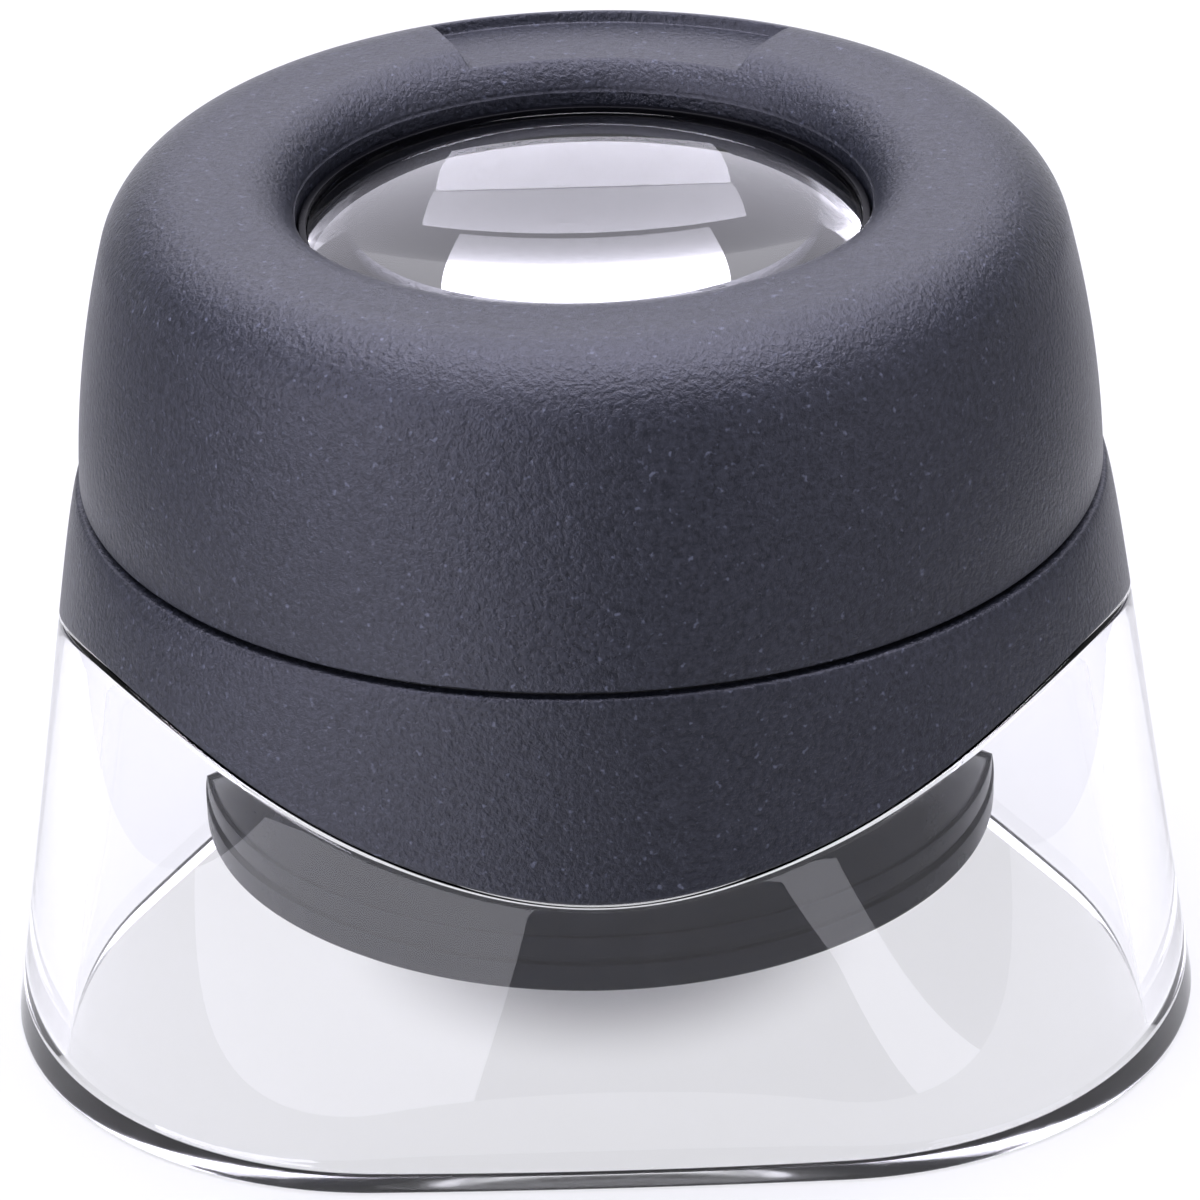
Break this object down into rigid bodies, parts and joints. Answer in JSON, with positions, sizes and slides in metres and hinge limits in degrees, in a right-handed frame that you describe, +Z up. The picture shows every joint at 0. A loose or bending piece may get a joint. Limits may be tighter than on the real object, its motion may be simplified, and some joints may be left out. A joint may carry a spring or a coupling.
{
  "type": "viewing loupe",
  "caption": "Stand loupe with a turning grip cap that focuses a two-lens cell, black collar and clear three-cornered stand.",
  "frame": {"origin": "where the optical axis meets the surface that the loupe stands on, which is the plane of the film or print being viewed", "axes": "+Z up along the optical axis towards the eye; one flat side of the stand faces -Y and one corner faces +Y"},
  "size_m": [0.0632, 0.0604, 0.0451],
  "materials": {
    "clear_acrylic": "polished clear acrylic",
    "grip_black": "fine spark-eroded grain",
    "barrel_black": "satin moulded",
    "bezel_black": "gloss",
    "sleeve_grey": "plain moulded acetal",
    "lens": "polished optical",
    "rubber": "matt",
    "steel": "plain"
  },
  "bodies": {
    "stand": {"clear_stand": "clear_acrylic", "collar": "grip_black", "guide_sleeve": "sleeve_grey", "guide_screws": "steel", "cap_clip": "steel", "drag_ring": "rubber"},
    "focus_ring": {"focus_cap": "grip_black", "cam_sleeve": "sleeve_grey"},
    "lens_cell": {"lens_barrel": "barrel_black", "follower_pins": "steel", "lower_lens": "lens", "spacer_tube": "barrel_black", "upper_lens": "lens", "lens_cushion": "rubber", "eyepiece_bezel": "bezel_black"}
  },
  "joints": [
    {"name": "cap_turn", "type": "hinge", "parent": "stand", "child": "focus_ring", "pos_m": [0, 0, 0.0286], "axis": [0, 0, 1], "range_deg": [-75, 15]},
    {"name": "lens_travel", "type": "slide", "parent": "stand", "child": "lens_cell", "axis": [0, 0, 1], "range_m": [-0.00333, 0.00067]}
  ],
  "couplings": [
    {"joint": "lens_travel", "follows": "cap_turn", "m_per_rad": 0.0025465}
  ]
}
